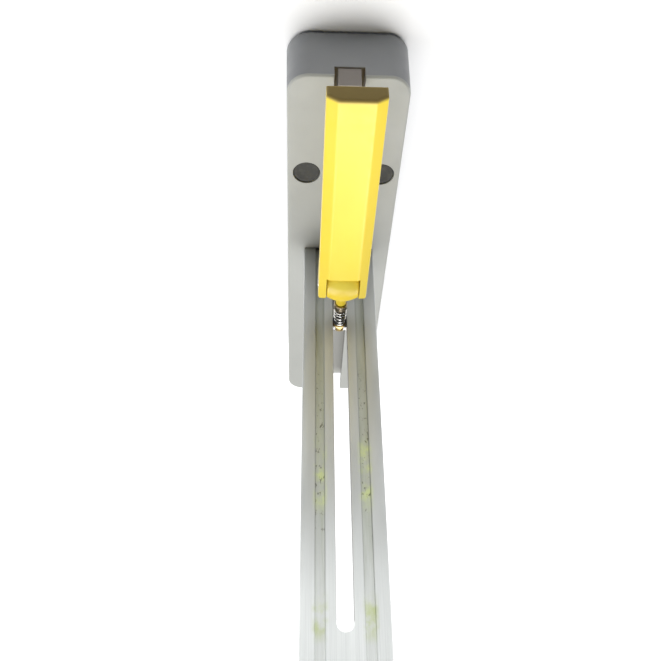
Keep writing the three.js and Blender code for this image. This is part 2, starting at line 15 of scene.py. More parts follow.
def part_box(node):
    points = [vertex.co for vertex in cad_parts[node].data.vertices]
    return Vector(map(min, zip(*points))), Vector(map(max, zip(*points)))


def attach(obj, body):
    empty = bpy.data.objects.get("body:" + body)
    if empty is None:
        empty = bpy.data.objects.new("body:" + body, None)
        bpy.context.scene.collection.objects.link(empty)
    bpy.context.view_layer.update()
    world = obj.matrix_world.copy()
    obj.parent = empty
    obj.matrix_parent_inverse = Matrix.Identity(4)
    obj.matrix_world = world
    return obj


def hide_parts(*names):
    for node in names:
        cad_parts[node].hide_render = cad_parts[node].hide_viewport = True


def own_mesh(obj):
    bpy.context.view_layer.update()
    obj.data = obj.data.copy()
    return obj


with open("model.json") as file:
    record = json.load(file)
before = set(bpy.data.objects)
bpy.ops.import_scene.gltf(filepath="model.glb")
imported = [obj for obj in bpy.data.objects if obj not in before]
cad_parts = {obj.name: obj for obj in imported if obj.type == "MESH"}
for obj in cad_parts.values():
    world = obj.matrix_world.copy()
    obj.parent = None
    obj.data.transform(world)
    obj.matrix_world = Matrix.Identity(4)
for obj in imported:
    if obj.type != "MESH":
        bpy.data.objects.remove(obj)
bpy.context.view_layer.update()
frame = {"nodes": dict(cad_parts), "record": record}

MM = 0.001


def box_mm(node):
    """A CAD node's lowest and highest corners, in millimetres."""
    low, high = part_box(node)
    return low / MM, high / MM


def centre_mm(node):
    """A CAD node's middle, in millimetres."""
    low, high = box_mm(node)
    return (low + high) / 2


# ---------------------------------------------------------------- places taken from the frame

BASE_LOW, BASE_HIGH = box_mm("base_body")
BAR_LOW, BAR_HIGH = box_mm("slotted_bar")
ROD_LOW, ROD_HIGH = box_mm("clamp_rod")
PIVOT = centre_mm("pivot_pin")
LEVER_LOW, LEVER_HIGH = box_mm("clamp_lever")
BARREL_LOW, BARREL_HIGH = box_mm("lever_barrel")
STOP_LOW, STOP_HIGH = box_mm("channel_stop")
BASE_TOP = BASE_HIGH.z
ROD_Z = PIVOT.z
BAR_FRONT = BAR_LOW.y
BAR_BACK = BAR_HIGH.y

# Sizes that the boxes don't give, the same as the model's.
BASE_DRAFT = 0.6
BASE_CORNER = 8.0
CHANNEL_WIDTH = 12.4
CHANNEL_DEPTH = 10.6
CHANNEL_LIP = 4.6
CHANNEL_UNDERCUT = 18.6
SILL_LENGTH = 9.0
NOTCH_WIDTH = 11.0
NOTCH_DEPTH = 5.3
SLOT_WIDTH = 5.8
SLOT_LOW = 18.0
SLOT_HIGH = 165.8
GROOVE_WIDTH = 3.5
GROOVE_DEPTH = 0.9
GROOVE_OFFSET = 8.3
LEVER_TOP = 6.0
LEVER_SIDE_DROP = 2.6
LEVER_TIP_THICKNESS = 7.6
EAR_RADIUS = 5.85
EAR_CORNER = 2.5
FORK_SLOT = 13
FORK_DEPTH = 8.8
KNUCKLE_END_RADIUS = 5.3
NECK_RADIUS = 2.2
PIN_BORE = 1.56

# ---------------------------------------------------------------- mesh tools


def new_object(name, bm):
    """An object from a bmesh drawn in millimetres."""
    bmesh.ops.recalc_face_normals(bm, faces=bm.faces)
    mesh = bpy.data.meshes.new(name)
    bm.to_mesh(mesh)
    bm.free()
    mesh.transform(Matrix.Scale(MM, 4))
    mesh.shade_smooth()
    made = bpy.data.objects.new(name, mesh)
    bpy.context.scene.collection.objects.link(made)
    return made


def loft(name, rings, closed=False):
    """A solid through rings of equal point count, capped at its ends or closed on itself."""
    bm = bmesh.new()
    rows = [[bm.verts.new(point) for point in ring] for ring in rings]
    pairs = list(zip(rows, rows[1:]))
    if closed:
        pairs.append((rows[-1], rows[0]))
    for lower, upper in pairs:
        count = len(lower)
        for i in range(count):
            j = (i + 1) % count
            bm.faces.new((lower[i], lower[j], upper[j], upper[i]))
    if not closed:
        bm.faces.new(rows[0])
        bm.faces.new(rows[-1])
    return new_object(name, bm)


def prism(name, outline, low, high):
    """A solid along Z over a closed outline of (x, y) points."""
    return loft(name, [[(x, y, z) for x, y in outline] for z in (low, high)])


def side_prism(name, outline, width):
    """A solid across X over a closed outline of (y, z) points."""
    return loft(name, [[(x, y, z) for y, z in outline] for x in (-width / 2, width / 2)])


def end_prism(name, outline, low, high):
    """A solid along Y over a closed outline of (x, z) points."""
    return loft(name, [[(x, y, z) for x, z in outline] for y in (low, high)])


def block(name, low, high):
    """A box between two corners."""
    outline = [(low[0], low[1]), (high[0], low[1]), (high[0], high[1]), (low[0], high[1])]
    return prism(name, outline, low[2], high[2])


def turned(profile, steps):
    """Rows of points: (radius, height) points turned once about Z."""
    angles = [2 * math.pi * i / steps for i in range(steps)]
    return [[(radius * math.cos(a), radius * math.sin(a), height) for radius, height in profile]
            for a in angles]


def revolve(name, profile, steps=64):
    """A solid of revolution about Z over (radius, height) points that start and end on the axis."""
    bm = bmesh.new()
    first = bm.verts.new((0, 0, profile[0][1]))
    last = bm.verts.new((0, 0, profile[-1][1]))
    columns = [[bm.verts.new(point) for point in row] for row in turned(profile[1:-1], steps)]
    for here, there in zip(columns, columns[1:] + columns[:1]):
        bm.faces.new((first, there[0], here[0]))
        for i in range(len(here) - 1):
            bm.faces.new((here[i], there[i], there[i + 1], here[i + 1]))
        bm.faces.new((last, here[-1], there[-1]))
    return new_object(name, bm)


def cylinder(name, radius, low, high, steps=48):
    """A cylinder about Z between two heights."""
    return revolve(name, [(0, low), (radius, low), (radius, high), (0, high)], steps)


def place(piece, at=(0, 0, 0), turn=None):
    """Turns a piece's mesh about the origin, then moves it, in millimetres."""
    if turn:
        axis, degrees = turn
        piece.data.transform(Matrix.Rotation(math.radians(degrees), 4, axis))
    piece.data.transform(Matrix.Translation(Vector(at) * MM))
    return piece


def along_y(piece, at=(0, 0, 0)):
    """A piece drawn along +Z is laid along +Y and moved."""
    return place(piece, at, ("X", -90))


def along_x(piece, at=(0, 0, 0)):
    """A piece drawn along +Z is laid along +X and moved."""
    return place(piece, at, ("Y", 90))


def freeze(piece):
    """Applies a piece's modifiers to its mesh."""
    graph = bpy.context.evaluated_depsgraph_get()
    mesh = bpy.data.meshes.new_from_object(piece.evaluated_get(graph), depsgraph=graph)
    piece.modifiers.clear()
    old = piece.data
    piece.data = mesh
    mesh.name = piece.name
    bpy.data.meshes.remove(old)
    return piece


def combine(piece, tools, operation):
    """Cuts, joins or crosses a piece with tools, which are used up."""
    for tool in tools:
        modifier = piece.modifiers.new("boolean", "BOOLEAN")
        modifier.operation = operation
        modifier.solver = "EXACT"
        modifier.object = tool
    freeze(piece)
    for tool in tools:
        mesh = tool.data
        bpy.data.objects.remove(tool)
        bpy.data.meshes.remove(mesh)
    return piece


def cut(piece, *tools):
    """Takes its tools out of a piece."""
    return combine(piece, tools, "DIFFERENCE")


def join(piece, *tools):
    """Adds its tools to a piece."""
    return combine(piece, tools, "UNION")


def cross(piece, *tools):
    """Keeps what a piece has in common with its tools."""
    return combine(piece, tools, "INTERSECT")


def soften(piece, width, segments=3, angle=32):
    """Rounds a piece's sharp edges by a width in millimetres."""
    bevel = piece.modifiers.new("edges", "BEVEL")
    bevel.width = width * MM
    bevel.segments = segments
    bevel.limit_method = "ANGLE"
    bevel.angle_limit = math.radians(angle)
    bevel.harden_normals = True
    bevel.use_clamp_overlap = True
    piece.data.shade_smooth()
    return piece


def arc(centre, radius, start, end, steps):
    """Points on an arc, angles in degrees."""
    angles = [math.radians(start + (end - start) * i / steps) for i in range(steps + 1)]
    return [(centre[0] + radius * math.cos(a), centre[1] + radius * math.sin(a)) for a in angles]


def rounded(corners, steps=6):
    """A closed outline over (x, y, radius) corners, each rounded by its own radius."""
    points = []
    count = len(corners)
    most = 0.49  # of a side's length, so that two corners never meet on it
    for i, (x, y, radius) in enumerate(corners):
        here = Vector((x, y))
        back = Vector(corners[i - 1][:2]) - here
        ahead = Vector(corners[(i + 1) % count][:2]) - here
        half = back.angle(ahead) / 2
        reach = min(radius / math.tan(half), back.length * most, ahead.length * most)
        start = here + back.normalized() * reach
        end = here + ahead.normalized() * reach
        for step in range(steps + 1):
            t = step / steps
            first = start.lerp(here, t)
            second = here.lerp(end, t)
            points.append(tuple(first.lerp(second, t)))
    return points


def rectangle(width, length, radius, steps=12):
    """A rounded rectangle centred on the origin, its corners true arcs."""
    x = width / 2 - radius
    y = length / 2 - radius
    return (arc((x, -y), radius, -90, 0, steps) + arc((x, y), radius, 0, 90, steps)
            + arc((-x, y), radius, 90, 180, steps) + arc((-x, -y), radius, 180, 270, steps))


# ---------------------------------------------------------------- material tools


class Finish:
    """A procedural material round one Principled shader, with its coordinates in millimetres."""

    def __init__(self, name, **constants):
        self.material = bpy.data.materials.new(name)
        self.material.use_nodes = True
        self.tree = self.material.node_tree
        self.shader = self.tree.nodes["Principled BSDF"]
        for socket, value in constants.items():
            self.shader.inputs[socket].default_value = value
        metres = self.node("ShaderNodeTexCoord").outputs["Object"]
        mapping = self.node("ShaderNodeMapping", {"Vector": metres, "Scale": (1 / MM,) * 3})
        self.mm = mapping.outputs[0]

    def node(self, kind, inputs=None, **settings):
        """A node with its settings, its inputs linked or set."""
        made = self.tree.nodes.new(kind)
        for name, value in settings.items():
            setattr(made, name, value)
        for key, value in (inputs or {}).items():
            if isinstance(value, bpy.types.NodeSocket):
                self.tree.links.new(value, made.inputs[key])
            else:
                made.inputs[key].default_value = value
        return made

    def stretched(self, scale):
        """The coordinates scaled by a different amount on each axis."""
        return self.node("ShaderNodeMapping", {"Vector": self.mm, "Scale": scale}).outputs[0]

    def noise(self, scale, detail=3, roughness=0.55, at=None):
        """Noise from about 0 to 1, its scale in features per millimetre of its coordinates."""
        return self.node("ShaderNodeTexNoise", {
            "Vector": at or self.mm, "Scale": scale, "Detail": detail, "Roughness": roughness,
        }).outputs["Fac"]

    def band(self, value, low, high, to_low=0.0, to_high=1.0):
        """A value mapped smoothly from one range to another."""
        return self.node("ShaderNodeMapRange", {
            "Value": value, "From Min": low, "From Max": high, "To Min": to_low, "To Max": to_high,
        }, interpolation_type="SMOOTHSTEP").outputs["Result"]

    def fade(self, value, full, gone):
        """A mask that is 1 up to one place and 0 from the next."""
        return self.band(value, full, gone, 1, 0)

    def window(self, value, opens, opened, closes, closed):
        """A mask that rises between its first two places and falls between its last two."""
        return self.times(self.band(value, opens, opened), self.fade(value, closes, closed))

    def math(self, operation, first, second=0.0):
        """A math node over two values."""
        return self.node("ShaderNodeMath", {0: first, 1: second}, operation=operation).outputs[0]

    def times(self, product, *factors):
        """Masks multiplied together."""
        for factor in factors:
            product = self.math("MULTIPLY", product, factor)
        return product

    def apart(self, value, middle):
        """How far a value is from a middle, either side of it."""
        return self.math("ABSOLUTE", self.math("SUBTRACT", value, middle))

    def axis(self, name):
        """One coordinate in millimetres."""
        return self.node("ShaderNodeSeparateXYZ", {"Vector": self.mm}).outputs[name]

    def mix(self, factor, first, second):
        """The first colour where the factor is 0, the second where it is 1."""
        made = self.node("ShaderNodeMix", data_type="RGBA")
        for index, value in ((0, factor), (6, first), (7, second)):
            if isinstance(value, bpy.types.NodeSocket):
                self.tree.links.new(value, made.inputs[index])
            else:
                made.inputs[index].default_value = (*value, 1)
        return made.outputs[2]

    def colour(self, socket):
        """Links a colour to the shader."""
        self.tree.links.new(socket, self.shader.inputs["Base Color"])

    def roughness(self, socket):
        """Links a roughness to the shader."""
        self.tree.links.new(socket, self.shader.inputs["Roughness"])

    def bumps(self, *layers):
        """Bump layers of (height, depth in millimetres, strength), one over the other."""
        normal = None
        for height, depth, strength in layers:
            inputs = {"Height": height, "Distance": depth * MM, "Strength": strength}
            if normal:
                inputs["Normal"] = normal
            normal = self.node("ShaderNodeBump", inputs).outputs["Normal"]
        self.tree.links.new(normal, self.shader.inputs["Normal"])


def shade(colour, factor):
    """A colour made darker or brighter."""
    return tuple(min(1.0, channel * factor) for channel in colour)


# ---------------------------------------------------------------- materials


def grey_plastic():
    """Fine-textured moulded plastic: rubbed paler beside the channel, with a painted highlight
    along its top edge, painted shade darkening it towards its far end, painted shade darker and
    cooler on its walls, and painted shade with a painted yellow reflection of the lever in the
    notch."""
    grey = (0.334, 0.339, 0.317)
    shaded_wall_grey = (0.243, 0.251, 0.260)
    shaded_channel_grey = (0.268, 0.266, 0.246)
    painted_notch_shade = (0.225, 0.200, 0.180)
    finish = Finish("grey_plastic", IOR=1.46)
    clouds = finish.noise(0.035, detail=4)
    specks = finish.noise(1.6, detail=2)
    scratches = finish.noise(1.0, detail=5, at=finish.stretched((2.6, 0.05, 2.6)))
    aside = finish.apart(finish.axis("X"), 0.0)
    along = finish.axis("Y")
    height = finish.axis("Z")

    tone = finish.mix(finish.band(clouds, 0.35, 0.7), shade(grey, 0.96), shade(grey, 1.04))
    tone = finish.mix(finish.band(specks, 0.62, 0.8, 0, 0.25), tone, shade(grey, 0.8))
    beside_channel = finish.fade(aside, 6.0, 11.0)
    rubbed = finish.times(beside_channel, finish.band(scratches, 0.56, 0.72, 0, 0.55))
    tone = finish.mix(rubbed, tone, shade(grey, 1.22))
    # Painted shade: darker towards the far end (+Y).
    tone = finish.mix(finish.band(along, -70, 30, 0, 0.8), tone, shade(grey, 0.78))

    # Painted shade below the top edge: darker and cooler on the outer walls, darker in the channel.
    walls = finish.fade(height, BASE_TOP - 1.4, BASE_TOP - 0.9)
    middle, half = (BASE_LOW.y + BASE_HIGH.y) / 2, (BASE_HIGH.y - BASE_LOW.y) / 2
    off_end = finish.fade(finish.apart(along, middle), half - 1.2, half - 0.8)
    in_channel = finish.times(finish.fade(aside, 9.6, 10.0), off_end)
    tone = finish.mix(walls, tone, finish.mix(in_channel, shaded_wall_grey, shaded_channel_grey))
    # Painted highlight along the top edge.
    rim = finish.window(height, BASE_TOP - 1.3, BASE_TOP - 0.7, BASE_TOP - 0.25, BASE_TOP - 0.08)
    tone = finish.mix(finish.times(rim, 0.6), tone, shade(grey, 1.3))

    # Painted shade in the notch, warmed by a painted yellow reflection of the lever.
    notch_half = NOTCH_WIDTH / 2
    notch_end = BASE_LOW.y + BASE_DRAFT + SILL_LENGTH
    notch_floor = BASE_TOP - NOTCH_DEPTH
    notch = finish.times(finish.fade(aside, notch_half, notch_half + 0.2),
                         finish.fade(along, notch_end - 0.2, notch_end + 0.2),
                         finish.band(height, notch_floor - 0.3, notch_floor + 0.1))
    finish.colour(finish.mix(notch, tone, painted_notch_shade))
    finish.roughness(finish.band(finish.noise(0.12, detail=5), 0.3, 0.75, 0.42, 0.6))
    grain = finish.noise(2.4, detail=3)
    ripple = finish.noise(0.05, detail=1)
    finish.bumps((ripple, 0.25, 0.35), (grain, 0.03, 0.35), (scratches, 0.015, 0.2))
    return finish.material


def dark_plastic():
    """The base's cover: black moulded plastic with a coarse spark-eroded grain."""
    black, worn_black = (0.030, 0.030, 0.032), (0.060, 0.060, 0.064)
    finish = Finish("dark_plastic", IOR=1.46)
    grain = finish.noise(2.0, detail=3)
    finish.colour(finish.mix(finish.band(grain, 0.4, 0.7), black, worn_black))
    finish.roughness(finish.band(finish.noise(0.1, detail=4), 0.3, 0.7, 0.5, 0.7))
    finish.bumps((grain, 0.05, 0.5))
    return finish.material


def yellow_plastic():
    """Glossy lemon-yellow plastic with faint flow clouds and scuffs, painted light and painted
    shade on the knuckle, and painted shade on the lever's end with a painted bounce light along its
    lower edge."""
    yellow = (0.75, 0.57, 0.050)
    cloud_yellow = (0.77, 0.59, 0.054)
    scuff_yellow = (0.66, 0.50, 0.08)
    knuckle_painted_light, knuckle_painted_shade = (0.98, 0.86, 0.13), (0.74, 0.55, 0.04)
    end_painted_shade, rim_painted_light = (0.205, 0.145, 0.036), (0.34, 0.26, 0.08)
    end_roughness = 0.85
    finish = Finish("yellow_plastic", IOR=1.47)
    flow = finish.noise(0.06, detail=3, at=finish.stretched((1.0, 0.4, 1.0)))
    scuffs = finish.noise(0.8, detail=6, roughness=0.7, at=finish.stretched((0.3, 1.6, 1.0)))
    along = finish.axis("Y")

    tone = finish.mix(finish.band(flow, 0.3, 0.7), shade(yellow, 0.96), cloud_yellow)
    tone = finish.mix(finish.band(scuffs, 0.66, 0.78, 0, 0.35), tone, scuff_yellow)
    # Painted light on the knuckle towards the lever's rear edge, fading to painted shade towards
    # the neck.
    fork_floor = PIVOT.y - FORK_DEPTH
    knuckle = finish.times(finish.fade(finish.apart(finish.axis("X"), 0.0), 6.2, 6.4),
                           finish.band(along, fork_floor, fork_floor + 0.3))
    towards_neck = finish.band(along, PIVOT.y - 6.5, PIVOT.y - 1.5)
    tone = finish.mix(knuckle, tone, finish.mix(towards_neck, knuckle_painted_light, knuckle_painted_shade))
    # Painted shade on the lever's end face, with painted bounce light along its lower edge.
    end = finish.fade(along, LEVER_LOW.y + 0.25, LEVER_LOW.y + 1.7)
    tip_bottom = LEVER_HIGH.z - LEVER_TIP_THICKNESS
    rim = finish.fade(finish.axis("Z"), tip_bottom + 0.3, tip_bottom + 0.9)
    finish.colour(finish.mix(end, tone, finish.mix(rim, end_painted_shade, rim_painted_light)))
    gloss = finish.band(finish.noise(0.3, detail=5), 0.3, 0.75, 0.3, 0.46)
    finish.roughness(finish.math("MAXIMUM", gloss, finish.times(end, end_roughness)))
    ripple = finish.noise(0.09, detail=1)
    grain = finish.noise(1.8, detail=2)
    finish.bumps((ripple, 0.2, 0.25), (grain, 0.012, 0.2), (scuffs, 0.01, 0.25))
    return finish.material


def black_rubber():
    """Matt rubber with a dusty bloom."""
    black, dusty = (0.042, 0.042, 0.039), (0.070, 0.070, 0.065)
    finish = Finish("black_rubber", IOR=1.42)
    bloom = finish.noise(0.35, detail=5)
    finish.colour(finish.mix(finish.band(bloom, 0.4, 0.75), black, dusty))
    finish.roughness(finish.band(bloom, 0.3, 0.7, 0.72, 0.9))
    finish.bumps((finish.noise(2.2, detail=3), 0.03, 0.4))
    return finish.material


def satin_aluminium():
    """Drawn aluminium: fine lines along Z, a painted reflection brightening its front with height
    and lifting it at the foot, duller towards the foot, small nicks, painted shade on the slot
    walls and along the groove edges, darker, greener, mottled grooves with specks, and yellow-green
    patches beside the grooves, the lower ones a painted reflection of the yellow lever."""
    silver = (0.63, 0.65, 0.64)
    nick_grey = (0.22, 0.22, 0.21)
    groove_green = (0.33, 0.355, 0.29)
    patch_yellow_green = (0.50, 0.57, 0.25)
    speck_black = (0.09, 0.09, 0.07)
    groove_edge_shade = (0.20, 0.21, 0.18)
    slot_wall_shade = (0.17, 0.17, 0.165)
    finish = Finish("satin_aluminium", Metallic=1.0)
    lines = finish.noise(1.0, detail=5, roughness=0.65, at=finish.stretched((5.0, 5.0, 0.02)))
    streaks = finish.noise(1.0, detail=3, at=finish.stretched((0.5, 0.5, 0.008)))
    nicks = finish.noise(1.0, detail=4, roughness=0.7, at=finish.stretched((1.6, 1.6, 0.3)))
    height = finish.axis("Z")
    aside = finish.apart(finish.axis("X"), 0.0)
    front = finish.fade(finish.axis("Y"), BAR_FRONT + 1.1, BAR_FRONT + 1.3)

    # Painted reflection: the front brightens with height and is lifted again at the foot.
    upper_front = finish.times(front, finish.band(height, 140, 208))
    tone = finish.mix(upper_front, shade(silver, 0.67), shade(silver, 1.46))
    tone = finish.mix(finish.band(height, 72, 105, 0.8, 0), tone, shade(silver, 0.84))
    tone = finish.mix(finish.band(streaks, 0.3, 0.7, 0, 0.12), tone, shade(silver, 0.7))
    tone = finish.mix(finish.band(lines, 0.35, 0.75, 0, 0.3), tone, shade(silver, 0.74))
    tone = finish.mix(finish.band(nicks, 0.72, 0.8, 0, 0.5), tone, nick_grey)

    # The grooves are darker, greener and mottled, most towards the foot.
    off_groove = finish.apart(aside, GROOVE_OFFSET)
    faded = finish.times(front, finish.band(height, 140, 205, 1, 0.3))
    in_groove = finish.times(faded, finish.fade(off_groove, 1.5, 1.85))
    groove_mottle = finish.noise(1.0, detail=4, at=finish.stretched((0.6, 0.6, 0.05)))
    groove_mottle = finish.times(in_groove, finish.band(groove_mottle, 0.3, 0.75, 0.3, 0.8))
    tone = finish.mix(groove_mottle, tone, groove_green)

    # Yellow-green patches beside the grooves at two heights; the lower band is a painted reflection
    # of the yellow lever.
    patch_heights = finish.math("ADD", finish.window(height, 118, 128, 144, 153),
                                finish.window(height, 178, 185, 190, 197))
    green_patches = finish.band(finish.noise(0.14, detail=5, roughness=0.6), 0.38, 0.66, 0, 0.8)
    near_groove = finish.times(front, finish.fade(off_groove, 1.2, 3.4))
    tone = finish.mix(finish.times(patch_heights, green_patches, near_groove), tone, patch_yellow_green)
    flecks = finish.noise(1.0, detail=4, roughness=0.7, at=finish.stretched((0.9, 0.9, 0.45)))
    specks = finish.times(finish.window(height, 88, 100, 155, 165), in_groove,
                          finish.band(flecks, 0.585, 0.65, 0, 0.8))
    tone = finish.mix(specks, tone, speck_black)
    # Painted shade along the groove edges.
    off_corner = finish.apart(off_groove, GROOVE_WIDTH / 2)
    corners = finish.times(faded, finish.band(off_corner, 0.1, 0.4, 0.35, 0))
    tone = finish.mix(corners, tone, groove_edge_shade)

    # Painted shade on the slot walls.
    slot_low, slot_high, slot_half = BASE_TOP + SLOT_LOW, BASE_TOP + SLOT_HIGH, SLOT_WIDTH / 2
    shaded_slot_walls = finish.times(finish.window(height, slot_low, slot_low + 1, slot_high - 4, slot_high - 3),
                        finish.fade(aside, slot_half + 0.04, slot_half + 0.14))
    finish.colour(finish.mix(shaded_slot_walls, tone, slot_wall_shade))
    dull = finish.band(height, 60, 190, 0.56, 0.32)
    patches = finish.noise(0.2, detail=4, at=finish.stretched((1.0, 1.0, 0.15)))
    finish.roughness(finish.math("ADD", dull, finish.band(patches, 0.3, 0.7, -0.05, 0.05)))
    finish.bumps((lines, 0.02, 0.35), (nicks, 0.02, 0.2))
    return finish.material


def bright_steel():
    """Turned steel with fine tool marks and a little tarnish; painted shade darkens the rod where
    the spring covers it."""
    bright, tarnished, rod_painted_shade = (0.62, 0.62, 0.63), (0.42, 0.40, 0.37), (0.10, 0.095, 0.09)
    finish = Finish("bright_steel", Metallic=1.0)
    tarnish = finish.noise(0.5, detail=5)
    tone = finish.mix(finish.band(tarnish, 0.45, 0.75), bright, tarnished)
    # Painted shade on the rod under the spring, for the dark gaps between its coils.
    covered = finish.window(finish.axis("Y"), ROD_LOW.y - 0.2, ROD_LOW.y - 0.1,
                            BAR_FRONT, BAR_FRONT + 2)
    covered = finish.times(covered, finish.band(finish.axis("Z"), ROD_Z - 3, ROD_Z - 2.5))
    finish.colour(finish.mix(covered, tone, rod_painted_shade))
    finish.roughness(finish.band(tarnish, 0.3, 0.75, 0.2, 0.42))
    finish.bumps((finish.noise(6.0, detail=3), 0.006, 0.3))
    return finish.material


def spring_steel():
    """Oiled spring wire with drawing lines, browner where the oil film is thicker."""
    bright, filmed = (0.76, 0.76, 0.74), (0.52, 0.50, 0.46)
    finish = Finish("spring_steel", Metallic=1.0)
    film = finish.noise(0.9, detail=4)
    finish.colour(finish.mix(finish.band(film, 0.4, 0.7), bright, filmed))
    finish.roughness(finish.band(film, 0.3, 0.7, 0.12, 0.26))
    finish.bumps((finish.noise(7.0, detail=2), 0.005, 0.3))
    return finish.material


def brass():
    """Machined brass, duller and browner in patches, with painted shade greying the spring's
    collar.
    """
    golden, browned, collar_painted_shade = (0.68, 0.51, 0.22), (0.48, 0.34, 0.15), (0.30, 0.26, 0.20)
    finish = Finish("brass", Metallic=1.0)
    patches = finish.noise(0.4, detail=5)
    tone = finish.mix(finish.band(patches, 0.4, 0.72), golden, browned)
    # Painted shade on the spring's collar.
    collar_end = box_mm("spring_collar")[1].y
    shaded_collar = finish.band(finish.axis("Y"), collar_end + 0.1, collar_end + 0.5, 0.85, 0)
    finish.colour(finish.mix(shaded_collar, tone, collar_painted_shade))
    finish.roughness(finish.band(patches, 0.3, 0.7, 0.24, 0.45))
    finish.bumps((finish.noise(6.0, detail=3), 0.008, 0.3))
    return finish.material


def carbide():
    """Ground carbide: dark grey metal with fine grinding lines."""
    dark, pale = (0.20, 0.21, 0.22), (0.34, 0.35, 0.36)
    finish = Finish("carbide", Metallic=1.0)
    lines = finish.noise(1.0, detail=4, at=finish.stretched((1.0, 1.0, 30.0)))
    finish.colour(finish.mix(finish.band(lines, 0.35, 0.7), dark, pale))
    finish.roughness(finish.band(lines, 0.3, 0.7, 0.22, 0.36))
    finish.bumps((lines, 0.004, 0.3))
    return finish.material


MATERIALS = {make.__name__: make() for make in (
    grey_plastic, dark_plastic, yellow_plastic, black_rubber, satin_aluminium,
    bright_steel, spring_steel, brass, carbide)}
SLOT_OF = {part["node"]: part["material_slot"] for part in frame["record"]["subparts"]}
BODY_OF = {node: body for body, nodes in frame["record"]["behaviour"]["bodies"].items()
           for node in nodes}


def finish_piece(piece, node):
    """A made piece stands for its CAD node, rides on its body and takes its finish."""
    slot = SLOT_OF[node]
    piece.data.materials.clear()
    piece.data.materials.append(MATERIALS[slot])
    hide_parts(node)
    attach(piece, BODY_OF[node])
    return piece


def keep_node(node, edge):
    """A CAD node whose shape is right keeps it, with its edges broken and a real finish."""
    piece = frame["nodes"][node]
    piece.data.materials.clear()
    piece.data.materials.append(MATERIALS[SLOT_OF[node]])
    soften(piece, edge, segments=2)


# ---------------------------------------------------------------- base


def base_shell():
    """The base: a drafted shell with soft edges, its channel, notch and plug sockets, and a rebate
    for the cover underneath."""
    width = BASE_HIGH.x - BASE_LOW.x - 2 * BASE_DRAFT
    length = BASE_HIGH.y - BASE_LOW.y - 2 * BASE_DRAFT
    bottom_round, top_round, steps = 0.5, 0.9, 6

    def ring(z, inset):
        grow = BASE_DRAFT * (BASE_TOP - z) / (BASE_TOP - BASE_LOW.z) - inset
        outline = rectangle(width + 2 * grow, length + 2 * grow, BASE_CORNER + grow)
        return [(x, y, z) for x, y in outline]

    quarter = [math.pi / 2 * i / steps for i in range(steps + 1)]
    rings = [ring(BASE_LOW.z + bottom_round * (1 - math.sin(a)), bottom_round * (1 - math.cos(a)))
             for a in reversed(quarter)]
    rings += [ring(BASE_TOP - top_round * (1 - math.sin(a)), top_round * (1 - math.cos(a)))
              for a in quarter]
    shell = loft("base_shell", rings)

    floor_z = BASE_TOP - CHANNEL_DEPTH
    start = BASE_LOW.y + BASE_DRAFT + SILL_LENGTH
    beyond = 5
    slot = block("cut", (-CHANNEL_WIDTH / 2, start, floor_z),
                 (CHANNEL_WIDTH / 2, BASE_HIGH.y + beyond, BASE_TOP + beyond))
    undercut = block("cut", (-CHANNEL_UNDERCUT / 2, start, floor_z),
                     (CHANNEL_UNDERCUT / 2, BASE_HIGH.y + beyond, BASE_TOP - CHANNEL_LIP))
    notch = block("cut", (-NOTCH_WIDTH / 2, BASE_LOW.y - beyond, BASE_TOP - NOTCH_DEPTH),
                  (NOTCH_WIDTH / 2, start + 1, BASE_TOP + beyond))
    rebate_inset, rebate_depth = 1.5, 2.5
    rebate_outline = rectangle(width - 2 * rebate_inset, length - 2 * rebate_inset,
                               BASE_CORNER - rebate_inset)
    rebate = prism("cut", rebate_outline, BASE_LOW.z - 1, BASE_LOW.z + rebate_depth)
    sockets = []
    for node in ("plug_left", "plug_right"):
        low, high = box_mm(node)
        middle = (low + high) / 2
        radius = (high.x - low.x) / 2 + 0.15
        sockets.append(place(cylinder("cut", radius, low.z - 0.3, BASE_TOP + 1, 64),
                             (middle.x, middle.y, 0)))
    cut(shell, slot, undercut, notch, rebate, *sockets)
    finish_piece(soften(shell, 0.28), "base_body")


def rubber_plug(node):
    """A plug with a rolled rim and a dished face, sunk a little below the base's top."""
    low, high = box_mm(node)
    middle = (low + high) / 2
    radius = (high.x - low.x) / 2
    rim_round, dish_depth = 0.5, 0.4
    rim = arc((radius - rim_round, high.z - rim_round), rim_round, 0, 90, 5)
    dish = [(radius * 0.72, high.z - 0.08), (radius * 0.62, high.z - 0.3),
            (radius * 0.3, high.z - 0.38)]
    profile = [(0, low.z), (radius, low.z), *rim, *dish, (0, high.z - dish_depth)]
    finish_piece(place(revolve(node + "_moulded", profile), (middle.x, middle.y, 0)), node)


def stop_tab():
    """The channel's stop: a wide foot in the undercut and a rounded tab in the notch."""
    low, high = STOP_LOW, STOP_HIGH
    ledge = BASE_TOP - NOTCH_DEPTH + 0.1
    tab_half, thickness, bridge_height = 4.1, 3.0, 2.6
    foot_round, head_round, clearance = 0.3, 1.2, 0.3
    outline = rounded([(-tab_half, ledge, foot_round), (tab_half, ledge, foot_round),
                       (tab_half, high.z, head_round), (-tab_half, high.z, head_round)])
    tab = end_prism("stop_tab", outline, low.y, low.y + thickness)
    bridge = block("join", (-tab_half, low.y + 1, ledge), (tab_half, high.y, ledge + bridge_height))
    foot = block("join", (low.x, BASE_LOW.y + BASE_DRAFT + SILL_LENGTH + clearance, low.z),
                 (high.x, high.y, BASE_TOP - CHANNEL_LIP - clearance))
    join(tab, bridge, foot)
    finish_piece(soften(tab, 0.3), "channel_stop")


# ---------------------------------------------------------------- post


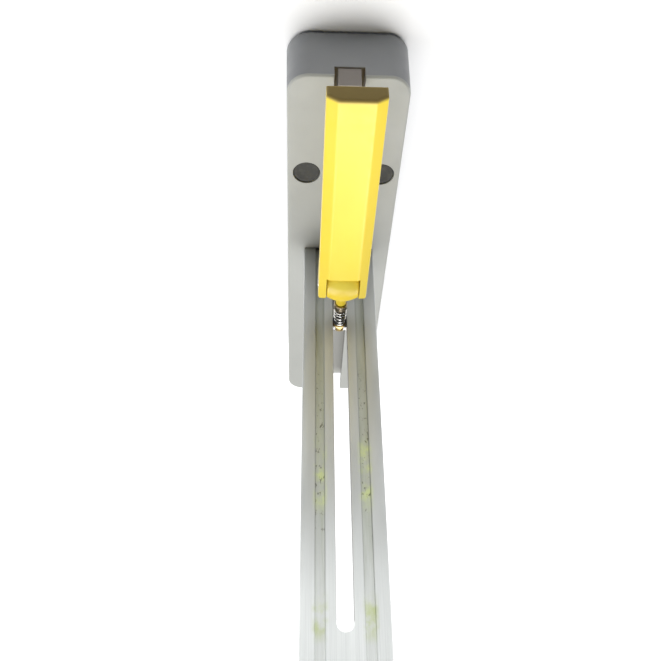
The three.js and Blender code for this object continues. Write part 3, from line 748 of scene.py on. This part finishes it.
def grooved_bar():
    """The bar: two grooves along its front and a round-ended slot right through it."""
    half = (BAR_HIGH.x - BAR_LOW.x) / 2
    groove_half = GROOVE_WIDTH / 2
    groove_floor = BAR_FRONT + GROOVE_DEPTH
    edge_round, lip_round, floor_round, lean = 0.5, 0.06, 0.12, 0.08

    def groove(x):
        return [(x + groove_half, BAR_FRONT, lip_round),
                (x + groove_half - lean, groove_floor, floor_round),
                (x - groove_half + lean, groove_floor, floor_round),
                (x - groove_half, BAR_FRONT, lip_round)]

    corners = [(-half, BAR_FRONT, edge_round), (-half, BAR_BACK, edge_round),
               (half, BAR_BACK, edge_round), (half, BAR_FRONT, edge_round)]
    corners += groove(GROOVE_OFFSET) + groove(-GROOVE_OFFSET)
    bar = prism("grooved_bar", rounded(corners, 4), BAR_LOW.z, BAR_HIGH.z)
    slot_half = SLOT_WIDTH / 2
    low, high = BASE_TOP + SLOT_LOW + slot_half, BASE_TOP + SLOT_HIGH - slot_half
    stadium = arc((0, high), slot_half, 0, 180, 24) + arc((0, low), slot_half, 180, 360, 24)
    slot = end_prism("cut", stadium, BAR_FRONT - 1, BAR_BACK + 1)
    cut(bar, slot)
    finish_piece(soften(bar, 0.12, 2, 40), "slotted_bar")


def screw(name, node, head, tip, head_radius, head_height, shank_radius):
    """A pan-head screw with a cross recess, from the outside of its head to its tip."""
    head, tip = Vector(head), Vector(tip)
    length = (tip - head).length
    dome = [(0, 0)] + [(head_radius * math.sin(a), head_height * 0.75 * (1 - math.cos(a)))
                       for a in (0.3, 0.6, 0.9, 1.2)]
    dome += [(head_radius, head_height * 0.7), (head_radius, head_height)]
    pitch, depth, plain_tip = 0.7, 0.22, 0.8
    flanks = [(shank_radius, head_height)]
    for turn in range(int((length - head_height - plain_tip) / pitch)):
        z = head_height + 0.2 + turn * pitch
        flanks += [(shank_radius, z + 0.1), (shank_radius - depth, z + pitch / 2),
                   (shank_radius, z + pitch - 0.1)]
    made = revolve(name, dome + flanks + [(shank_radius * 0.5, length), (0, length)], 40)
    reach, half, bottom = head_radius * 0.6, 0.22 * head_radius / 2, head_height * 0.62
    for angle in (0, 90):
        arm = block("cut", (-reach, -half, -1), (reach, half, bottom))
        cut(made, place(arm, turn=("Z", angle)))
    pointing = Vector((0, 0, 1)).rotation_difference((tip - head).normalized())
    made.data.transform(pointing.to_matrix().to_4x4())
    finish_piece(place(made, head), node)


def screws():
    """The cover's screws, driven upwards, and the bar's and the head's, driven to the front."""
    # head radius, head height and shank radius
    cover_size, bar_size, head_size = (2.7, 1.1, 1.2), (2.9, 2.0, 1.2), (2.0, 1.6, 1.1)
    for i in range(1, 5):
        node = f"cover_screw_{i}"
        low, high = box_mm(node)
        middle = (low + high) / 2
        screw(f"cover_fixing_{i}", node, (middle.x, middle.y, low.z),
              (middle.x, middle.y, high.z), *cover_size)
    for node, size in (("bar_screw_left", bar_size), ("bar_screw_right", bar_size),
                       ("head_screw_left", head_size), ("head_screw_right", head_size)):
        low, high = box_mm(node)
        middle = (low + high) / 2
        screw(node.replace("screw", "fixing"), node, (middle.x, high.y, middle.z),
              (middle.x, low.y, middle.z), *size)


def knurled_knob():
    """The foot's clamping knob: a fluted drum on its screw, with a centre dimple on top."""
    low, high = box_mm("foot_screw")
    middle = (low + high) / 2
    top, radius = high.z, (high.x - low.x) / 2
    knob_height, neck_radius, shank_radius = 7.8, 4.0, 1.7
    seat = top - knob_height
    flutes = 28
    count = flutes * 6

    def ring(z, size, depth):
        points = []
        for i in range(count):
            angle = 2 * math.pi * i / count
            reach = size - depth * (0.5 - 0.5 * math.cos(flutes * angle))
            points.append((middle.x + reach * math.cos(angle),
                           middle.y + reach * math.sin(angle), z))
        return points

    # height, radius and depth of the flutes
    layers = [(seat, neck_radius, 0), (seat + 1.2, neck_radius, 0), (seat + 1.25, radius - 0.7, 0),
              (seat + 1.7, radius - 0.25, 0.3), (seat + 2.0, radius, 0.45),
              (top - 1.1, radius, 0.45), (top - 0.7, radius - 0.3, 0.3),
              (top - 0.25, radius - 0.9, 0), (top, radius - 1.7, 0), (top - 0.05, 1.5, 0),
              (top - 0.3, 1.1, 0)]
    knob = loft("foot_knob", [ring(*layer) for layer in layers])
    shank = thread("join", shank_radius, 0.5, low.z, seat + 0.5)
    join(knob, place(shank, (middle.x, middle.y, 0)))
    finish_piece(knob, "foot_screw")


def thread(name, radius, pitch, low, high, depth=0.3):
    """A threaded shank about Z: rings whose radius follows a helix."""
    around = 24
    per_turn = 8
    run_out = 4  # rings over which the thread fades in and out
    count = max(2, int((high - low) / pitch * per_turn))
    rings = []
    for step in range(count + 1):
        z = low + (high - low) * step / count
        taper = min(1.0, (step + 1) / run_out, (count + 1 - step) / run_out)
        ring = []
        for i in range(around):
            angle = 2 * math.pi * i / around
            wave = abs(((z / pitch - i / around) % 1.0) * 2 - 1)
            reach = radius - depth * (wave * taper + (1 - taper))
            ring.append((reach * math.cos(angle), reach * math.sin(angle), z))
        rings.append(ring)
    return loft(name, rings)


# ---------------------------------------------------------------- scoring head


def swept_ring(name, section, steps):
    """A ring about Z over a closed section of (radius, height) points."""
    return loft(name, turned(section, steps), closed=True)


def turned_ring(name, node, edge, waist=0.0):
    """A bored ring along Y with broken edges, drawn in a little at its middle."""
    low, high = box_mm(node)
    middle = (low + high) / 2
    radius = (high.x - low.x) / 2
    length = high.y - low.y
    hole = 1.75
    section = [(hole, edge), (hole + edge, 0), (radius - edge, 0),
               (radius - edge * 0.3, edge * 0.3), (radius, edge),
               (radius - waist, length * 0.4), (radius - waist, length * 0.6),
               (radius, length - edge), (radius - edge * 0.3, length - edge * 0.3),
               (radius - edge, length), (hole + edge, length), (hole, length - edge)]
    made = along_y(swept_ring(name, section, 64), (middle.x, low.y, middle.z))
    made.data.set_sharp_from_angle(angle=math.radians(50))
    finish_piece(made, node)


def scoring_wheel():
    """A honed wheel with a double bevel to its edge and a raised hub."""
    low, high = box_mm("cutting_wheel")
    middle = (low + high) / 2
    radius = (high.x - low.x) / 2
    half = (high.z - low.z) / 2
    hole, hub, hub_height = 0.88, 1.5, 0.08
    face = half - hub_height
    bevel_start, honed_start, honed_half = radius - 1.0, radius - 0.35, 0.16
    section = [(hole, -half), (hub, -half), (hub + 0.1, -face), (bevel_start, -face),
               (honed_start, -honed_half), (radius, 0), (honed_start, honed_half),
               (bevel_start, face), (hub + 0.1, face), (hub, half), (hole, half)]
    wheel = place(swept_ring("scoring_wheel", section, 72), middle)
    wheel.data.set_sharp_from_angle(angle=math.radians(20))
    finish_piece(wheel, "cutting_wheel")


def polished_pin(name, node, axis):
    """A ground pin with rounded ends."""
    low, high = box_mm(node)
    middle = (low + high) / 2
    size = high - low
    half = max(size) / 2
    radius = min(size) / 2
    nose = 0.15
    top = [(radius - nose + nose * math.cos(a), half - nose + nose * math.sin(a))
           for a in (0, 0.4, 0.8, 1.2, math.pi / 2)]
    profile = [(0, -half)] + [(r, -z) for r, z in reversed(top)] + top + [(0, half)]
    pin = revolve(name, profile, 40)
    finish_piece(along_x(pin, middle) if axis == "X" else place(pin, middle), node)


# ---------------------------------------------------------------- quick-release clamp


def threaded_rod():
    """The clamp's rod, threaded from end to end."""
    radius = (ROD_HIGH.z - ROD_LOW.z) / 2
    rod = thread("threaded_rod", radius, 0.6, 0, ROD_HIGH.y - ROD_LOW.y, depth=0.25)
    finish_piece(along_y(rod, (0, ROD_LOW.y, ROD_Z)), "clamp_rod")


def wire_spring():
    """A compression spring with closed ends, swept round its helix."""
    low, high = box_mm("clamp_spring")
    wire = 0.48
    radius = (high.x - low.x) / 2 - wire
    start, end = low.y + wire, high.y - wire
    turns, first_angle = 5.25, 0.6
    closed_share, open_share = 0.06, 0.88
    steps, around = 320, 14

    def point(t):
        """The wire's middle; the coils lie closer at both ends and widest apart halfway."""
        angle = 2 * math.pi * turns * t + first_angle
        s = min(1.0, max(0.0, (t - closed_share) / open_share))
        eased = (3 * s * s - 2 * s ** 3) * 0.3 + s * 0.55 + t * 0.15
        return Vector((radius * math.cos(angle), start + (end - start) * eased,
                       ROD_Z - radius * math.sin(angle)))

    rings = []
    for step in range(steps + 1):
        t = step / steps
        here = point(t)
        along = (point(min(1, t + 0.001)) - point(max(0, t - 0.001))).normalized()
        outward = (here - Vector((0, here.y, ROD_Z))).normalized()
        across = along.cross(outward).normalized()
        outward = across.cross(along)
        size = wire * min(1.0, 0.6 + 8 * min(t, 1 - t) * turns)
        rings.append([here + size * (outward * math.cos(a) + across * math.sin(a))
                      for a in (2 * math.pi * i / around for i in range(around))])
    spring = loft("wire_spring", rings)
    finish_piece(spring, "clamp_spring")
    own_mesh(spring)


def moulded_barrel():
    """The crowned knuckle and its round neck, moulded as one with soft edges."""
    half = (BARREL_HIGH.x - BARREL_LOW.x) / 2
    radius = (BARREL_HIGH.z - BARREL_LOW.z) / 2
    drop = radius - KNUCKLE_END_RADIUS
    soft = 0.7
    steps = 24
    inner = half - soft
    crown = [(radius - drop * (x / half) ** 2, x)
             for x in (inner * (2 * i / steps - 1) for i in range(steps + 1))]
    edge_radius = radius - drop * (inner / half) ** 2
    edge = [(edge_radius - soft + soft * math.cos(a), inner + soft * math.sin(a))
            for a in (0.4, 0.8, 1.2, math.pi / 2)]
    profile = [(0, -half)] + [(r, -x) for r, x in reversed(edge)] + crown + edge + [(0, half)]
    knuckle = along_x(revolve("moulded_barrel", profile, 96))

    length = BARREL_HIGH.y - PIVOT.y
    root, flare = radius - 0.25, 0.8
    profile = [(0, 0), (NECK_RADIUS + flare, 0)]
    profile += [(NECK_RADIUS + flare * (1 - math.sin(a)), root + flare * (1 - math.cos(a)))
                for a in (0, 0.4, 0.8, 1.2, math.pi / 2)]
    profile += [(NECK_RADIUS - 0.1, length - 0.5), (NECK_RADIUS - 0.25, length - 0.2),
                (NECK_RADIUS - 0.45, length), (0, length)]
    join(knuckle, along_y(revolve("join", profile, 64)))
    rod_bore = along_y(cylinder("cut", 1.68, 1, length + 1))
    pin_bore = along_x(cylinder("cut", PIN_BORE, -half - 1, half + 1))
    cut(knuckle, rod_bore, pin_bore)
    barrel = place(knuckle, PIVOT)
    finish_piece(barrel, "lever_barrel")
    barrel.data.set_sharp_from_angle(angle=math.radians(35))


def drawn_in(corners, distance):
    """A convex counter-clockwise outline of (x, y, radius) corners moved inwards."""
    moved = []
    count = len(corners)
    for i, (x, y, radius) in enumerate(corners):
        here = Vector((x, y))
        back = (here - Vector(corners[i - 1][:2])).normalized()
        ahead = (Vector(corners[(i + 1) % count][:2]) - here).normalized()
        first, second = back.orthogonal(), ahead.orthogonal()
        corner = here + (first + second) * (distance / (1 + first.dot(second)))
        moved.append((corner.x, corner.y, max(0.05, radius - distance)))
    return moved


def lever_section():
    """The lever seen from its end: flat crown, bevelled shoulders, upright sides."""
    half = (LEVER_HIGH.x - LEVER_LOW.x) / 2
    crown = half * 0.6
    bottom = -EAR_RADIUS - 1
    side = LEVER_TOP - LEVER_SIDE_DROP
    bottom_round, side_round, crown_round = 0.3, 0.9, 2.2
    return [(-half, bottom, bottom_round), (half, bottom, bottom_round),
            (half, side, side_round), (crown, LEVER_TOP, crown_round),
            (-crown, LEVER_TOP, crown_round), (-half, side, side_round)]


def moulded_lever():
    """The lever, drawn about its pivot: a rounded arm crossed with its outlines from the side and
    from above, then cut for the fork, the pin and the pocket underneath."""
    reach = PIVOT.y - LEVER_LOW.y
    half = (LEVER_HIGH.x - LEVER_LOW.x) / 2
    bottom = LEVER_TOP - LEVER_TIP_THICKNESS
    beyond = 20
    fillet, steps = 1.1, 7
    section = lever_section()
    rings = []
    for i in range(steps + 1):
        a = math.pi / 2 * i / steps
        outline = rounded(drawn_in(section, fillet * (1 - math.sin(a))), 7)
        rings.append([(x, -reach + fillet * (1 - math.cos(a)), z) for x, z in outline])
    rings.append([(x, EAR_RADIUS + 1, z) for x, z in rounded(section, 7)])
    arm = loft("moulded_lever", rings)

    ear = arc((0, 0), EAR_RADIUS, -88, 84, 36)
    side = [(-6.3, LEVER_TOP + 1), (-reach - 2, LEVER_TOP + 1), (-reach - 2, bottom + 1.6),
            (-reach + 0.05, bottom + 1.2), (-reach + 0.35, bottom + 0.35), (-reach + 1.2, bottom),
            (-20, bottom), (-15, bottom - 0.35), (-11, bottom - 1.5), (-8, -4.6)]
    silhouette = side_prism("cross", side + ear, 60)
    ear_corner = EAR_RADIUS - EAR_CORNER
    outline = [(-half - 1, -reach - 5), (half + 1, -reach - 5), (half + 1, -12), (half, -11)]
    outline += arc((half - EAR_CORNER, ear_corner), EAR_CORNER, 0, 90, 12)
    outline += arc((EAR_CORNER - half, ear_corner), EAR_CORNER, 90, 180, 12)
    outline += [(-half, -11), (-half - 1, -12)]
    plan = prism("cross", outline, -beyond, beyond)
    cross(arm, silhouette, plan)

    fork_half = FORK_SLOT / 2
    fork = block("cut", (-fork_half, -FORK_DEPTH, -beyond), (fork_half, beyond, beyond))
    pin_bore = along_x(cylinder("cut", PIN_BORE, -beyond, beyond))
    pocket_half, pocket_round, crown_thickness = fork_half - 1.4, 1.5, 5.2
    outline = rounded([(-pocket_half, -reach + 4, pocket_round),
                       (pocket_half, -reach + 4, pocket_round),
                       (pocket_half, -11, pocket_round), (-pocket_half, -11, pocket_round)])
    pocket = prism("cut", outline, -10, LEVER_TOP - crown_thickness)
    cut(arm, fork, pin_bore, pocket)
    lever = place(arm, PIVOT)
    finish_piece(soften(lever, 0.4, 4, 30), "clamp_lever")


# ---------------------------------------------------------------- build

base_shell()
stop_tab()
rubber_plug("plug_left")
rubber_plug("plug_right")
grooved_bar()
screws()
knurled_knob()
turned_ring("turned_bush", "slot_bush", 0.3)
turned_ring("waisted_collar", "spring_collar", 0.35, 0.12)
scoring_wheel()
polished_pin("wheel_spindle", "wheel_axle", "Z")
polished_pin("hinge_pin", "pivot_pin", "X")
threaded_rod()
wire_spring()
moulded_barrel()
moulded_lever()
for kept, edge in (("base_cover", 0.15), ("base_pad", 0.25), ("post_foot", 0.3),
                   ("channel_nut", 0.2), ("slot_keeper", 0.15), ("head_block", 0.3),
                   ("wheel_holder", 0.15)):
    keep_node(kept, edge)

# ---------------------------------------------------------------- floor, light and camera


def floor():
    """A pale floor just under the pad, large enough to fill the view."""
    size, thickness = 4000, 20
    stage = block("floor", (-size, -size, -thickness), (size, size, 0))
    white, paler = (0.90, 0.90, 0.90), (0.91, 0.91, 0.91)
    pale = Finish("floor_paper", Roughness=0.9)
    paper = pale.noise(0.01, detail=2)
    pale.colour(pale.mix(pale.band(paper, 0.3, 0.7), white, paler))
    stage.data.materials.append(pale.material)


def softbox(name, at, target, size, power):
    """A rectangular area light at a place in metres, facing a target."""
    light = bpy.data.lights.new(name, "AREA")
    light.shape = "RECTANGLE"
    light.size, light.size_y = size
    light.energy = power
    lamp = bpy.data.objects.new(name, light)
    lamp.location = at
    lamp.rotation_euler = (Vector(target) - Vector(at)).to_track_quat("-Z", "Y").to_euler()
    bpy.context.scene.collection.objects.link(lamp)


def lighting():
    """One broad ceiling softbox, mostly behind the post, and a nearly dark room."""
    softbox("overhead", at=(0.5, 2.2, 5.0), target=(0.1, 0.3, 0), size=(13.5, 4.8), power=1080)
    world = bpy.data.worlds.new("room")
    world.use_nodes = True
    room = world.node_tree.nodes["Background"]
    room.inputs["Color"].default_value = (0.88, 0.92, 1.0, 1)
    room.inputs["Strength"].default_value = 0.04
    bpy.context.scene.world = world
    bpy.context.scene.view_settings.view_transform = "Standard"
    bpy.context.scene.view_settings.look = "None"


def camera():
    """Looks down along the base from beyond the lever's tip, held upside down."""
    azimuth, elevation, roll = 2.557, 36.152, -179.395
    stand = Vector((15.71, -277.79, 265.16)) * MM
    data = bpy.data.cameras.new("view")
    data.sensor_width = 36
    data.lens = 43.32
    data.clip_start = 0.01
    data.clip_end = 20
    eye = bpy.data.objects.new("view", data)
    aim = (Matrix.Rotation(math.radians(azimuth), 4, "Z")
           @ Matrix.Rotation(math.radians(90 - elevation), 4, "X")
           @ Matrix.Rotation(math.radians(-roll), 4, "Z"))
    eye.matrix_world = Matrix.Translation(stand) @ aim
    bpy.context.scene.collection.objects.link(eye)
    bpy.context.scene.camera = eye


floor()
lighting()
camera()
